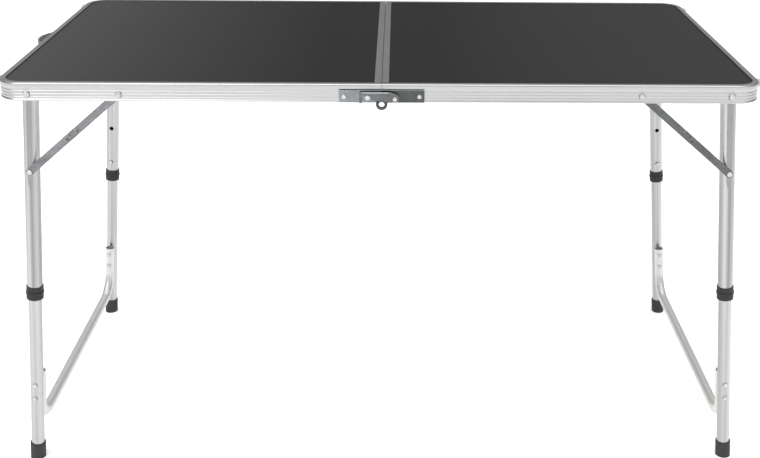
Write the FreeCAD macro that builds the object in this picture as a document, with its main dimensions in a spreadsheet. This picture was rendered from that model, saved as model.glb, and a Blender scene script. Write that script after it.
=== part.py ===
import FreeCAD, Part
import math
import os
import Sketcher

# Folding camping table: two framed boards hinged across the middle, a folding
# pair of telescopic legs under each board, and a jointed brace at each leg.
# The origin is on the floor under the middle of the top, +X runs along the
# length, -Y is the front and +Z is up. The legs stand open and fully extended.

V = FreeCAD.Vector

DIMENSIONS = [
    # overall
    ("top_length", 1200), ("top_width", 600), ("top_height", 700),
    ("corner_round", 40), ("seam_gap", 0.5),
    # edge rail section
    ("rail_tall", 29), ("rail_lip", 10), ("rail_wall", 2.7), ("skin", 1.2),
    ("slot_tall", 3.5), ("slot_deep", 2.2), ("web_dip", 1.0), ("bead_round", 2.6),
    ("bead_end", 7), ("web_start", 9), ("web_end", 25.5), ("foot_start", 27.2),
    ("first_groove", 12), ("groove_pitch", 5), ("groove_deep", 0.4), ("groove_half", 0.6),
    ("edge_break", 0.8), ("shelf_wide", 9),
    # centre rail section
    ("centre_lip", 11), ("centre_wall", 1.7), ("centre_foot", 8), ("lip_butt", 0.2),
    ("front_gap", 2.2), ("tab_play", 0.2),
    # board
    ("laminate_thick", 0.8), ("board_play", 0.05),
    # fits: pressed together, riveted fast, turning, and clear of each other
    ("press_fit", 0.02), ("rivet_fit", 0.05), ("turn_fit", 0.08), ("part_gap", 0.3),
    # legs
    ("leg_reach", 550), ("leg_drop", 18), ("leg_side", 275), ("splay", 5.5),
    ("upper_radius", 12.5), ("lower_radius", 11), ("upper_wall", 1.2), ("tube_wall", 1),
    ("flat_deep", 0.8), ("flat_end", 147), ("flat_fade", 36),
    ("upper_end", 355), ("lower_end", 290), ("crown", 12.6),
    ("button_down", 323.5), ("button_pitch", 75), ("button_radius", 3.8),
    ("button_hole", 4.1), ("button_proud", 3.2),
    ("collar_top", 343.5), ("collar_foot", 366.5), ("collar_radius", 14),
    ("collar_rib", 0.8), ("rib_half", 2), ("foot_radius", 13), ("foot_tall", 30),
    ("foot_sole", 6),
    # crossbars
    ("bar_radius", 9.25), ("bar_down", 623), ("bar_top", 520.5), ("bar_bend", 45),
    ("bar_rivet_upper", 533.5), ("bar_rivet_lower", 560.5), ("bar_rivet_radius", 2.4),
    ("bar_rivet_head", 4.3),
    # braces
    ("brace_reach", 408), ("brace_upper", 98.2), ("brace_lower", 106.18),
    ("brace_tilt", 40.745), ("brace_on_leg", 134), ("arm_wide", 12), ("arm_thick", 2),
    ("arm_play", 0.5), ("joggle_in", 24), ("joggle_out", 31),
    ("arm_past", 24), ("arm_hole_along", 18), ("arm_hole", 2.2), ("arm_slot_along", 9.5),
    ("slot_half", 2.6), ("slot_low", 0.8), ("slot_high", 3.2), ("channel_from", 26),
    ("channel_end", 12), ("channel_half", 2.2), ("channel_deep", 0.9), ("arm_gap", 0.4),
    ("arm_eye", 2.8), ("brace_rivet_radius", 2.5), ("brace_rivet_head", 4.4),
    # pivots and rivets
    ("pivot_radius", 3.9), ("pivot_head", 5.6), ("pin_radius", 2.9), ("pin_head", 5),
    ("head_tall", 2.2), ("tail_tall", 1.7), ("bush_radius", 8),
    # centre hinge
    ("hinge_drop", 31.3), ("plate_long", 66.5), ("plate_tall", 19.6), ("plate_drop", 9),
    ("plate_thick", 1.7), ("plate_play", 0.3), ("ear_radius", 9), ("eyelet_radius", 6),
    ("eyelet_bore", 4.5), ("eyelet_lip", 1.1), ("ear_clear", 0.6), ("fixing_out", 59),
    ("fixing_drop", 19), ("fixing_radius", 2), ("fixing_head", 3.6), ("plate_pin", 2.3),
    # latch
    ("latch_pivot_out", 20.6), ("latch_pivot_drop", 21.5), ("stud_out", 21.3),
    ("stud_drop", 19.2), ("stud_radius", 3), ("stud_flange", 1.2), ("latch_thick", 1.8),
    ("hook_reach", 13.5), ("hook_rise", 8.2), ("hook_finger", 4.2), ("thumb_out", 3.6),
    # handle and end catches
    ("handle_half", 54), ("handle_shoulder", 42), ("handle_toe", 1.6), ("handle_apex", 27),
    ("handle_round", 62), ("handle_rise", 16.4), ("handle_span", 44), ("handle_band", 3.2),
    ("handle_top", 4), ("handle_tall", 12), ("window_from", 3), ("window_long", 10),
    ("window_pitch", 13.5), ("screw_along", 36), ("screw_drop", 10), ("screw_radius", 3.5),
    ("screw_tall", 1.5), ("catch_along", 254), ("catch_long", 20), ("catch_out", 6.5),
    ("catch_top", 3), ("catch_low", 11),
]

doc = FreeCAD.newDocument("FoldingTable")
sheet = doc.addObject("Spreadsheet::Sheet", "Dims")
for row, (alias, value) in enumerate(DIMENSIONS, start=1):
    sheet.set("A%d" % row, str(value))
    sheet.setAlias("A%d" % row, alias)
doc.recompute()


class Term:
    """A size that carries its number together with the formula that gives it."""

    def __init__(self, value, text):
        self.value = float(value)
        self.text = text

    @staticmethod
    def of(other):
        return other if isinstance(other, Term) else Term(other, repr(float(other)))

    def _join(self, sign, other, value):
        return Term(value, "(%s %s %s)" % (self.text, sign, Term.of(other).text))

    def __add__(self, other):
        return self._join("+", other, self.value + Term.of(other).value)

    def __sub__(self, other):
        return self._join("-", other, self.value - Term.of(other).value)

    def __mul__(self, other):
        return self._join("*", other, self.value * Term.of(other).value)

    def __truediv__(self, other):
        return self._join("/", other, self.value / Term.of(other).value)

    def __radd__(self, other):
        return Term.of(other) + self

    def __rsub__(self, other):
        return Term.of(other) - self

    def __rmul__(self, other):
        return Term.of(other) * self

    def __neg__(self):
        return Term(-self.value, "(0 - %s)" % self.text)


def dim(alias):
    """The named cell of the sheet."""
    return Term(dict(DIMENSIONS)[alias], "Dims." + alias)


HEIGHT = dim("top_height")
HALF_LONG = dim("top_length") / 2
HALF_WIDE = dim("top_width") / 2
PIVOT_HIGH = HEIGHT - dim("leg_drop")
SPLAY = math.radians(dim("splay").value)
LEG_LONG = Term(PIVOT_HIGH.value / math.cos(SPLAY),
                "(%s / cos(Dims.splay * 1 deg))" % PIVOT_HIGH.text)
SPLAY_SLOPE = Term(math.tan(SPLAY), "tan(Dims.splay * 1 deg)")
SIDES = (("left", -1), ("right", 1))
ENDS = (("front", -1), ("rear", 1))

# Layers across the width, measured outwards from the middle of the table.
WALL_FACE = HALF_WIDE - dim("rail_wall")
ARM_OUTER = WALL_FACE - dim("arm_play")
ARM_INNER = dim("leg_side") + dim("upper_radius") + dim("arm_play") + dim("arm_thick")
UPPER_ARM_FACE = ARM_INNER + dim("arm_gap") + dim("arm_thick")
PLATE_BACK = HALF_WIDE + dim("plate_play")
PLATE_FACE = PLATE_BACK + dim("plate_thick")
EAR_BACK = PLATE_FACE + dim("plate_play")
EAR_FACE = EAR_BACK + dim("plate_thick")
LATCH_BACK = EAR_FACE + dim("plate_play") * 2 + dim("eyelet_lip")
LATCH_FACE = LATCH_BACK + dim("latch_thick")
HINGE_HIGH = HEIGHT - dim("hinge_drop")

nodes = []


def drive(thing, prop, size):
    """Bind one property of an object to a formula of the sheet."""
    thing.setExpression(prop, Term.of(size).text)


def new_body(label, several=False):
    body = doc.addObject("PartDesign::Body", label)
    body.Label = label
    body.AllowCompound = several
    nodes.append(body)
    return body


def new_sketch(body, name, role, offset=0):
    """A sketch on one of the body's own origin planes, moved along its normal axis."""
    plane = [o for o in body.Origin.OriginFeatures if o.Role == role][0]
    sketch = body.newObject("Sketcher::SketchObject", name)
    sketch.AttachmentSupport = (plane, [""])
    sketch.MapMode = "FlatFace"
    offset = Term.of(offset)
    if role == "XZ_Plane":
        offset = -offset
    sketch.AttachmentOffset = FreeCAD.Placement(V(0, 0, offset.value), FreeCAD.Rotation())
    drive(sketch, "AttachmentOffset.Base.z", offset)
    return sketch


def pin(sketch, geometry, end, x, y):
    """Fix one point of a sketch by its two coordinates."""
    for kind, size in (("DistanceX", x), ("DistanceY", y)):
        size = Term.of(size)
        number = sketch.addConstraint(
            Sketcher.Constraint(kind, -1, 1, geometry, end, size.value))
        drive(sketch, "Constraints[%d]" % number, size)


def draw_circle(sketch, x, y, radius):
    radius = Term.of(radius)
    centre = V(Term.of(x).value, Term.of(y).value, 0)
    ring = sketch.addGeometry(Part.Circle(centre, V(0, 0, 1), radius.value), False)
    pin(sketch, ring, 3, x, y)
    number = sketch.addConstraint(Sketcher.Constraint("Radius", ring, radius.value))
    drive(sketch, "Constraints[%d]" % number, radius)


def draw_chain(sketch, corners, closed=True):
    """Straight runs through the corners; a third value rounds that corner."""
    points = [V(Term.of(c[0]).value, Term.of(c[1]).value, 0) for c in corners]
    rounds = [Term.of(c[2]) if len(c) > 2 else None for c in corners]
    count = len(corners)

    def ways(i):
        back = (points[i - 1] - points[i]).normalize()
        ahead = (points[(i + 1) % count] - points[i]).normalize()
        return back, ahead

    def leave(i, j):
        """Where the run from corner i towards corner j starts."""
        if rounds[i] is None:
            return points[i]
        back, ahead = ways(i)
        reach = rounds[i].value / math.tan(back.getAngle(ahead) / 2)
        return points[i] + (points[j] - points[i]).normalize() * reach

    runs = []
    for i in range(count if closed else count - 1):
        j = (i + 1) % count
        runs.append(sketch.addGeometry(Part.LineSegment(leave(i, j), leave(j, i)), False))
    for i in range(count):
        x, y = corners[i][0], corners[i][1]
        if not closed and i == 0:
            pin(sketch, runs[0], 1, x, y)
            continue
        if not closed and i == count - 1:
            pin(sketch, runs[-1], 2, x, y)
            continue
        before, after = runs[i - 1], runs[i]
        if rounds[i] is None:
            sketch.addConstraint(Sketcher.Constraint("Coincident", before, 2, after, 1))
            pin(sketch, after, 1, x, y)
            continue
        back, ahead = ways(i)
        middle = (back + ahead).normalize()
        turn = back.getAngle(ahead)
        centre = points[i] + middle * (rounds[i].value / math.sin(turn / 2))
        first = leave(i, i - 1) - centre
        last = leave(i, (i + 1) % count) - centre
        ends = (1, 2)
        if first.cross(last).z < 0:
            first, last, ends = last, first, (2, 1)
        circle = Part.Circle(centre, V(0, 0, 1), rounds[i].value)
        start = math.atan2(first.y, first.x)
        stop = math.atan2(last.y, last.x)
        if stop < start:
            stop += 2 * math.pi
        arc = sketch.addGeometry(Part.ArcOfCircle(circle, start, stop), False)
        apex = sketch.addGeometry(Part.Point(points[i]), True)
        sketch.addConstraint(Sketcher.Constraint("Tangent", before, 2, arc, ends[0]))
        sketch.addConstraint(Sketcher.Constraint("Tangent", arc, ends[1], after, 1))
        pin(sketch, apex, 1, x, y)
        sketch.addConstraint(Sketcher.Constraint("PointOnObject", apex, 1, before))
        sketch.addConstraint(Sketcher.Constraint("PointOnObject", apex, 1, after))
        number = sketch.addConstraint(
            Sketcher.Constraint("Radius", arc, rounds[i].value))
        drive(sketch, "Constraints[%d]" % number, rounds[i])


def solid_step(body, name, role, near, far, chains=(), circles=(), cut=False):
    """Pad or pocket between two distances along the plane's own axis."""
    near, far = Term.of(near), Term.of(far)
    sketch = new_sketch(body, name + "_sketch", role, (near + far) / 2)
    for chain in chains:
        draw_chain(sketch, chain)
    for circle in circles:
        draw_circle(sketch, *circle)
    if cut:
        doc.recompute()
        before = body.Shape.Volume
    kind = "PartDesign::Pocket" if cut else "PartDesign::Pad"
    step = body.newObject(kind, name)
    step.Profile = sketch
    step.SideType = "Symmetric"
    thick = far - near if far.value > near.value else near - far
    step.Length = thick.value
    drive(step, "Length", thick)
    sketch.Visibility = False
    if cut:
        doc.recompute()
        if body.Shape.Volume > before - 0.01:
            raise RuntimeError(name + " in " + body.Label + " cuts nothing")
    return step


def turned_step(body, name, x, z, profile):
    """Revolve a profile of (distance along Y, radius) corners about an axis along Y."""
    sketch = new_sketch(body, name + "_sketch", "YZ_Plane", x)
    corners = [(c[0], Term.of(z) + c[1]) + tuple(c[2:]) for c in profile]
    draw_chain(sketch, corners)
    level = Term.of(z).value
    axis = sketch.addGeometry(
        Part.LineSegment(V(Term.of(profile[0][0]).value, level, 0),
                         V(Term.of(profile[-1][0]).value, level, 0)), True)
    pin(sketch, axis, 1, profile[0][0], z)
    pin(sketch, axis, 2, profile[-1][0], z)
    step = body.newObject("PartDesign::Revolution", name)
    step.Profile = sketch
    step.ReferenceAxis = (sketch, ["Axis0"])
    step.Angle = 360
    return step


def piped_step(body, name, profile, path_role, path_corners, path_offset=0):
    """Sweep a drawn profile sketch along an open chain."""
    path = new_sketch(body, name + "_path", path_role, path_offset)
    draw_chain(path, path_corners, closed=False)
    doc.recompute()
    pipe = body.newObject("PartDesign::AdditivePipe", name)
    pipe.Profile = profile
    pipe.Spine = (path, ["Edge%d" % (i + 1) for i in range(len(path.Shape.Edges))])
    return pipe


def rivet_profile(sign, head_top, head_seat, tail_seat, tail_top, shank, head, dome=1.4):
    """Corners of a domed rivet along Y; the distances are taken outwards on one side."""
    head, shank = Term.of(head), Term.of(shank)
    return [(sign * head_top, 0), (sign * head_top, head, dome), (sign * head_seat, head),
            (sign * head_seat, shank), (sign * tail_seat, shank), (sign * tail_seat, head),
            (sign * tail_top, head, 0.9), (sign * tail_top, 0)]


def stand_on_leg(body, side):
    """Place a body drawn in its leg's frame: origin on the pivot, -Z down the leg."""
    reach = side * dim("leg_reach")
    tilt = FreeCAD.Rotation(V(0, -side, 0), dim("splay").value)
    body.Placement = FreeCAD.Placement(V(reach.value, 0, PIVOT_HIGH.value), tilt)
    drive(body, "Placement.Base.x", reach)
    drive(body, "Placement.Base.z", PIVOT_HIGH)
    drive(body, "Placement.Rotation.Angle", dim("splay"))


def lie_along_brace(body, side, along):
    """Place a body drawn along X at a distance down the brace from its rail pivot."""
    tilt = Term.of(dim("brace_tilt"))
    cosine = Term(math.cos(math.radians(tilt.value)), "cos(Dims.brace_tilt * 1 deg)")
    sine = Term(math.sin(math.radians(tilt.value)), "sin(Dims.brace_tilt * 1 deg)")
    out = side * (dim("brace_reach") + along * cosine)
    high = PIVOT_HIGH - along * sine
    turn = FreeCAD.Rotation(V(0, side, 0), tilt.value)
    body.Placement = FreeCAD.Placement(V(out.value, 0, high.value), turn)
    drive(body, "Placement.Base.x", out)
    drive(body, "Placement.Base.z", high)
    drive(body, "Placement.Rotation.Angle", tilt)


# ---------------------------------------------------------------- top frame


def edge_rail(label, side):
    """Extruded rail bent round the front, the end and the back of one half."""
    body = new_body(label)

    def at(inward, drop, *rounding):
        return (-HALF_WIDE + inward, HEIGHT - drop) + rounding

    dip, skin, wall = dim("web_dip"), dim("skin"), dim("rail_wall")
    tall, slot = dim("rail_tall"), dim("slot_deep")
    under = skin + dim("slot_tall")
    section = [at(dim("rail_lip"), 0), at(0, 0, dim("bead_round")), at(0, dim("bead_end")),
               at(dip, dim("web_start"))]
    for groove in range(3):
        drop = dim("first_groove") + dim("groove_pitch") * groove
        section += [at(dip, drop - dim("groove_half")),
                    at(dip + dim("groove_deep"), drop),
                    at(dip, drop + dim("groove_half"))]
    section += [at(dip, dim("web_end")), at(0, dim("foot_start")),
                at(0, tall, dim("edge_break")), at(wall, tall),
                at(wall, under + skin), at(dim("shelf_wide"), under + skin),
                at(dim("shelf_wide"), under), at(slot, under), at(slot, skin),
                at(dim("rail_lip"), skin)]
    profile = new_sketch(body, "rail_section", "YZ_Plane", side * dim("seam_gap") / 2)
    draw_chain(profile, section)
    bend = dim("corner_round")
    near = side * dim("seam_gap") / 2
    piped_step(body, "rail_sweep", profile, "XY_Plane",
               [(near, -HALF_WIDE), (side * HALF_LONG, -HALF_WIDE, bend),
                (side * HALF_LONG, HALF_WIDE, bend), (near, HALF_WIDE)])
    fit = dim("rivet_fit")
    holes = [(side * dim("leg_reach"), PIVOT_HIGH, dim("pivot_radius") + fit),
             (side * dim("brace_reach"), PIVOT_HIGH, dim("pin_radius") + fit),
             (side * dim("fixing_out"), HEIGHT - dim("fixing_drop"),
              dim("fixing_radius") + fit)]
    solid_step(body, "pivot_holes", "XZ_Plane", -HALF_WIDE - 5, HALF_WIDE + 5,
               circles=holes, cut=True)


def centre_rail(label, side):
    """Straight rail that closes the half along the seam and carries the board edge."""
    body = new_body(label)
    lip, wall, skin = dim("centre_lip"), dim("centre_wall"), dim("skin")
    under, tall = skin + dim("slot_tall"), dim("rail_tall")

    def at(inward, drop, *rounding):
        return (side * (dim("seam_gap") / 2 + inward), HEIGHT - drop) + rounding

    section = [at(0, 0, dim("edge_break")), at(lip, 0), at(lip, skin), at(wall, skin),
               at(wall, under),
               at(dim("shelf_wide"), under), at(dim("shelf_wide"), under + skin),
               at(wall, under + skin), at(wall, tall - skin),
               at(dim("centre_foot"), tall - skin), at(dim("centre_foot"), tall),
               at(0, tall)]
    reach = HALF_WIDE - dim("rail_lip") - dim("lip_butt")
    short = dim("front_gap") if side > 0 else 0
    solid_step(body, "rail_run", "XZ_Plane", -reach + short, reach, chains=[section])
    play = dim("tab_play")
    tab = [at(0, under + skin + play), at(wall, under + skin + play),
           at(wall, tall - play), at(0, tall - play)]
    solid_step(body, "end_tabs", "XZ_Plane", -WALL_FACE, WALL_FACE, chains=[tab])


def board_sheet(label, side, low, high):
    """One sheet of the board, held in the slot of the rails."""
    body = new_body(label)
    inner = dim("seam_gap") / 2 + dim("centre_wall") + dim("board_play")
    outer = HALF_LONG - dim("slot_deep") - dim("board_play")
    across = HALF_WIDE - dim("slot_deep") - dim("board_play")
    bend = dim("corner_round") - dim("slot_deep") - dim("board_play")
    solid_step(body, "sheet", "XY_Plane", low, high,
               chains=[[(side * inner, -across), (side * outer, -across, bend),
                        (side * outer, across, bend), (side * inner, across)]])


def frame_rivets(label, side):
    """Leg pivot pins and brace pivot pins, peened on the face of the rail."""
    body = new_body(label, several=True)
    face = HALF_WIDE - dim("web_dip")
    head_top = face + dim("head_tall")
    for end, sign in ENDS:
        inner = dim("leg_side") - dim("upper_radius") - dim("part_gap")
        turned_step(body, end + "_leg_pin", side * dim("leg_reach"), PIVOT_HIGH,
                    rivet_profile(sign, head_top, face, inner, inner - dim("tail_tall"),
                                  dim("pivot_radius"), dim("pivot_head")))
        tail = ARM_OUTER - dim("arm_thick") - dim("part_gap")
        turned_step(body, end + "_brace_pin", side * dim("brace_reach"), PIVOT_HIGH,
                    rivet_profile(sign, head_top, face, tail, tail - dim("tail_tall"),
                                  dim("pin_radius"), dim("pin_head")))


def leg_bushes(label, side):
    """Spacer bushes that keep the legs off the inside of the rail."""
    body = new_body(label, several=True)
    for end, sign in ENDS:
        near = sign * (dim("leg_side") + dim("upper_radius") + dim("part_gap"))
        solid_step(body, end + "_bush", "XZ_Plane", near, sign * WALL_FACE,
                   circles=[(side * dim("leg_reach"), PIVOT_HIGH, dim("bush_radius")),
                            (side * dim("leg_reach"), PIVOT_HIGH,
                             dim("pivot_radius") + dim("press_fit"))])


# --------------------------------------------------------------- centre hinge


def hinge_plate(label, side, sign):
    """Half of the centre hinge: a flat plate with an ear round the hinge axis."""
    body = new_body(label)
    inner, outer = side * dim("seam_gap") / 2, side * dim("plate_long")
    top = HEIGHT - dim("plate_drop")
    low = top - dim("plate_tall")
    layer = (sign * PLATE_BACK, sign * PLATE_FACE)
    solid_step(body, "plate", "XZ_Plane", *layer,
               chains=[[(inner, low), (outer, low, 1), (outer, top, 1), (inner, top)]])
    ear = dim("ear_radius")
    if side > 0:
        # Clear the other half's ear, then step forward in front of it.
        solid_step(body, "ear_clearance", "XZ_Plane", *layer,
                   circles=[(0, HINGE_HIGH, ear + dim("ear_clear"))], cut=True)
        step = [(ear * 0.4, HINGE_HIGH + 1), (ear + 7, low + 1.5), (ear + 7, low + 9, 2),
                (ear * 0.4, low + 9)]
        solid_step(body, "ear_step", "XZ_Plane", sign * PLATE_FACE, sign * EAR_FACE,
                   chains=[step])
        solid_step(body, "step_relief", "XZ_Plane", sign * PLATE_FACE, sign * EAR_BACK,
                   circles=[(0, HINGE_HIGH, ear + dim("ear_clear"))], cut=True)
        layer = (sign * EAR_BACK, sign * EAR_FACE)
    solid_step(body, "ear", "XZ_Plane", *layer, circles=[(0, HINGE_HIGH, ear)])
    solid_step(body, "eyelet_hole", "XZ_Plane", *layer,
               circles=[(0, HINGE_HIGH, dim("eyelet_radius")
                         + dim("turn_fit" if side > 0 else "press_fit"))], cut=True)
    holes = [(side * dim("fixing_out"), HEIGHT - dim("fixing_drop"),
              dim("fixing_radius") + dim("rivet_fit"))]
    pin_hole = dim("plate_pin") + dim("rivet_fit")
    if side > 0:
        holes.append((dim("latch_pivot_out"), HEIGHT - dim("latch_pivot_drop"), pin_hole))
    else:
        holes.append((-dim("stud_out"), HEIGHT - dim("stud_drop"), pin_hole))
    solid_step(body, "rivet_holes", "XZ_Plane", sign * (PLATE_BACK - 1),
               sign * (PLATE_FACE + 1), circles=holes, cut=True)


def hinge_eyelet(label, sign):
    """Hollow eyelet on which the two halves of the top turn."""
    body = new_body(label)
    bore, sleeve = dim("eyelet_bore"), dim("eyelet_radius")
    flange = dim("ear_radius") - 0.4
    front = EAR_FACE + dim("plate_play")
    turned_step(body, "eyelet", 0, HINGE_HIGH,
                [(sign * PLATE_BACK, bore), (sign * PLATE_BACK, sleeve),
                 (sign * front, sleeve), (sign * front, flange),
                 (sign * (front + dim("eyelet_lip")), flange, 0.6),
                 (sign * (front + dim("eyelet_lip")), bore)])


def plate_rivets(label, side):
    """Fixing rivets of the hinge plates with the latch stud or the latch pivot."""
    body = new_body(label, several=True)
    for end, sign in ENDS:
        turned_step(body, end + "_fixing", side * dim("fixing_out"),
                    HEIGHT - dim("fixing_drop"),
                    rivet_profile(sign, PLATE_FACE + dim("tail_tall"), PLATE_FACE,
                                  WALL_FACE, WALL_FACE - 1.2, dim("fixing_radius"),
                                  dim("fixing_head"), 1.2))
        shank, cap = dim("plate_pin"), LATCH_FACE + dim("part_gap")
        if side < 0:
            girth = dim("stud_radius")
            brim, rise = girth + dim("stud_flange"), cap + dim("stud_flange")
            turned_step(body, end + "_stud", -dim("stud_out"), HEIGHT - dim("stud_drop"),
                        [(sign * rise, 0), (sign * rise, brim, 0.8), (sign * cap, brim),
                         (sign * cap, girth), (sign * PLATE_FACE, girth),
                         (sign * PLATE_FACE, shank), (sign * PLATE_BACK, shank),
                         (sign * PLATE_BACK, 0)])
        else:
            head, rise = dim("fixing_head"), cap + dim("tail_tall")
            shelf, spacer = LATCH_BACK - dim("rivet_fit") * 2, head + 0.4
            turned_step(body, end + "_latch_pin", dim("latch_pivot_out"),
                        HEIGHT - dim("latch_pivot_drop"),
                        [(sign * rise, 0), (sign * rise, head, 1.2), (sign * cap, head),
                         (sign * cap, shank), (sign * shelf, shank),
                         (sign * shelf, spacer), (sign * PLATE_FACE, spacer),
                         (sign * PLATE_FACE, shank), (sign * PLATE_BACK, shank),
                         (sign * PLATE_BACK, 0)])


def latch_hook(label, sign):
    """Swinging hook on the right half that drops over the stud of the left half."""
    body = new_body(label)
    pivot_x, pivot_z = dim("latch_pivot_out"), HEIGHT - dim("latch_pivot_drop")
    stud_x, stud_z = dim("stud_out"), HEIGHT - dim("stud_drop")
    layer = (sign * LATCH_BACK, sign * LATCH_FACE)
    tip, top = -(stud_x + dim("hook_reach")), stud_z + dim("hook_rise")
    throat = tip + dim("hook_finger")
    jaw = stud_z + dim("stud_radius") + 0.4
    finger = HEIGHT - dim("rail_tall") + 0.6
    outline = [(pivot_x + 6, pivot_z - 5.5, 5), (pivot_x + 6, pivot_z + 5.5, 5),
               (pivot_x - 8, top, 6), (tip, top, 4),
               (tip, finger, 1.8), (throat, finger, 1.2), (throat, jaw, 2),
               (-(stud_x - 3.5), jaw, 2), (-(stud_x - 3.5), stud_z - 2.5, 2),
               (-(stud_x - 10), stud_z - 4.4, 3), (pivot_x - 9, pivot_z - 5.5, 4)]
    solid_step(body, "link", "XZ_Plane", *layer, chains=[outline])
    solid_step(body, "pin_hole", "XZ_Plane", *layer,
               circles=[(pivot_x, pivot_z, dim("plate_pin") + dim("turn_fit"))], cut=True)
    # Thumb tab turned out along the top edge.
    solid_step(body, "thumb_tab", "XZ_Plane", sign * (LATCH_FACE - 0.2),
               sign * (LATCH_FACE + dim("thumb_out")),
               chains=[[(tip + 5, top - 1.3), (pivot_x - 10, top - 1.3),
                        (pivot_x - 10, top), (tip + 5, top)]])


# ------------------------------------------------------ handle and end catches


def carry_handle(label):
    """Arched moulded handle on the left end, with four windows between its ribs."""
    body = new_body(label)
    top = HEIGHT - dim("handle_top")
    low = top - dim("handle_tall")
    half, shoulder, toe = dim("handle_half"), dim("handle_shoulder"), dim("handle_toe")

    def at(out, along, *rounding):
        return (-HALF_LONG - out, along) + rounding

    solid_step(body, "grip", "XY_Plane", low, top,
               chains=[[at(0, -half), at(toe, -shoulder, 22),
                        at(dim("handle_apex"), 0, dim("handle_round")),
                        at(toe, shoulder, 22), at(0, half)]])

    def rim(along):
        """How far out a window reaches, so that the band outside it stays even."""
        bow = along / dim("handle_span")
        return dim("handle_rise") * (1 - bow * bow) - dim("handle_band")

    windows = []
    for place in (-1.5, -0.5, 0.5, 1.5):
        centre = dim("window_pitch") * place
        near, far = centre - dim("window_long") / 2, centre + dim("window_long") / 2
        windows.append([at(dim("window_from"), near, 0.8), at(rim(near), near, 0.8),
                        at(rim(far), far, 0.8), at(dim("window_from"), far, 0.8)])
    solid_step(body, "windows", "XY_Plane", low - 1, top + 1, chains=windows, cut=True)


def handle_screws(label):
    """Two screws that hold the handle's feet to the end rail."""
    for end, sign in ENDS:
        screw = doc.addObject("Part::Cylinder", label + "_" + end)
        along = sign * dim("screw_along")
        screw.Placement = FreeCAD.Placement(
            V(0, along.value, 0), FreeCAD.Rotation(V(0, 1, 0), 90))
        drive(screw, "Radius", dim("screw_radius"))
        drive(screw, "Height", dim("screw_tall"))
        drive(screw, "Placement.Base.x", -HALF_LONG + dim("rail_wall"))
        drive(screw, "Placement.Base.y", along)
        drive(screw, "Placement.Base.z", HEIGHT - dim("screw_drop"))
    pair = doc.addObject("Part::Fuse", label)
    pair.Base = doc.getObject(label + "_front")
    pair.Tool = doc.getObject(label + "_rear")
    pair.Label = label
    nodes.append(pair)


def end_catches(label, side):
    """Small catches near the outer corners that hold the folded case shut."""
    body = new_body(label, several=True)
    half = dim("catch_long") / 2
    face = side * HALF_LONG
    tip = side * (HALF_LONG + dim("catch_out"))
    for end, sign in ENDS:
        middle = sign * dim("catch_along")
        solid_step(body, end + "_catch", "XY_Plane", HEIGHT - dim("catch_low"),
                   HEIGHT - dim("catch_top"),
                   chains=[[(face, middle - half), (tip, middle - half + 2, 2),
                            (tip, middle + half - 2, 2), (face, middle + half)]])


# ------------------------------------------------------------------------ legs


def upper_tube(label, sign):
    """Outer leg tube with a rounded crown, pivot holes and three height holes."""
    body = new_body(label)
    along = sign * dim("leg_side")
    radius, wall = dim("upper_radius"), dim("upper_wall")
    crown = dim("crown")
    solid_step(body, "tube", "XY_Plane", -dim("upper_end"), crown + 1,
               circles=[(0, along, radius), (0, along, radius - wall)])
    wide = radius + 8
    solid_step(body, "crown_round", "XZ_Plane", along - wide, along + wide,
               chains=[[(-crown, 0), (-crown, crown, crown - 0.2),
                        (crown, crown, crown - 0.2), (crown, 0), (wide, 0),
                        (wide, wide), (-wide, wide), (-wide, 0)]], cut=True)
    solid_step(body, "pivot_bore", "XZ_Plane", along - wide, along + wide,
               circles=[(0, 0, dim("pivot_radius") + dim("turn_fit")),
                        (0, -dim("brace_on_leg"),
                         dim("brace_rivet_radius") + dim("rivet_fit"))], cut=True)
    flat = dim("leg_side") + radius - dim("flat_deep")
    beyond = dim("leg_side") + radius + 3
    flat_end, fade = -dim("flat_end"), dim("flat_fade")
    solid_step(body, "pressed_flat", "YZ_Plane", -wide, wide,
               chains=[[(sign * flat, crown + 4), (sign * flat, flat_end, 40),
                        (sign * (beyond - 2), flat_end - fade), (sign * beyond, flat_end - fade),
                        (sign * beyond, crown + 4)]], cut=True)
    down = dim("button_down")
    pitch = dim("button_pitch")
    solid_step(body, "height_holes", "XZ_Plane", along, along - sign * wide,
               circles=[(0, -down, dim("button_hole")), (0, -down + pitch, dim("button_hole")),
                        (0, -down + pitch * 2, dim("button_hole"))], cut=True)


def collar(label, sign):
    """Moulded collar that guides the inner tube at the foot of the outer tube."""
    body = new_body(label)
    along = sign * dim("leg_side")
    rim = dim("collar_radius")
    middle = -dim("upper_end")
    solid_step(body, "sleeve", "XY_Plane", middle, -dim("collar_top"),
               circles=[(0, along, rim),
                        (0, along, dim("upper_radius") + dim("press_fit"))])
    solid_step(body, "nose", "XY_Plane", -dim("collar_foot"), middle,
               circles=[(0, along, rim), (0, along, dim("lower_radius") + dim("part_gap"))])
    rib = dim("rib_half")
    solid_step(body, "rib", "XY_Plane", middle - rib, middle + rib,
               circles=[(0, along, rim + dim("collar_rib")),
                        (0, along, rim - dim("collar_rib"))])


def spring_button(label, sign):
    """Domed push button that locks the leg's length."""
    body = new_body(label)
    centre = sign * dim("leg_side")
    inner = dim("upper_radius") - dim("upper_wall") + 0.1
    outer = dim("upper_radius") + dim("button_proud")
    turned_step(body, "button", 0, -dim("button_down"),
                [(centre - sign * outer, 0),
                 (centre - sign * outer, dim("button_radius"), 2.4),
                 (centre - sign * inner, dim("button_radius")),
                 (centre - sign * inner, 0)])


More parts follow.
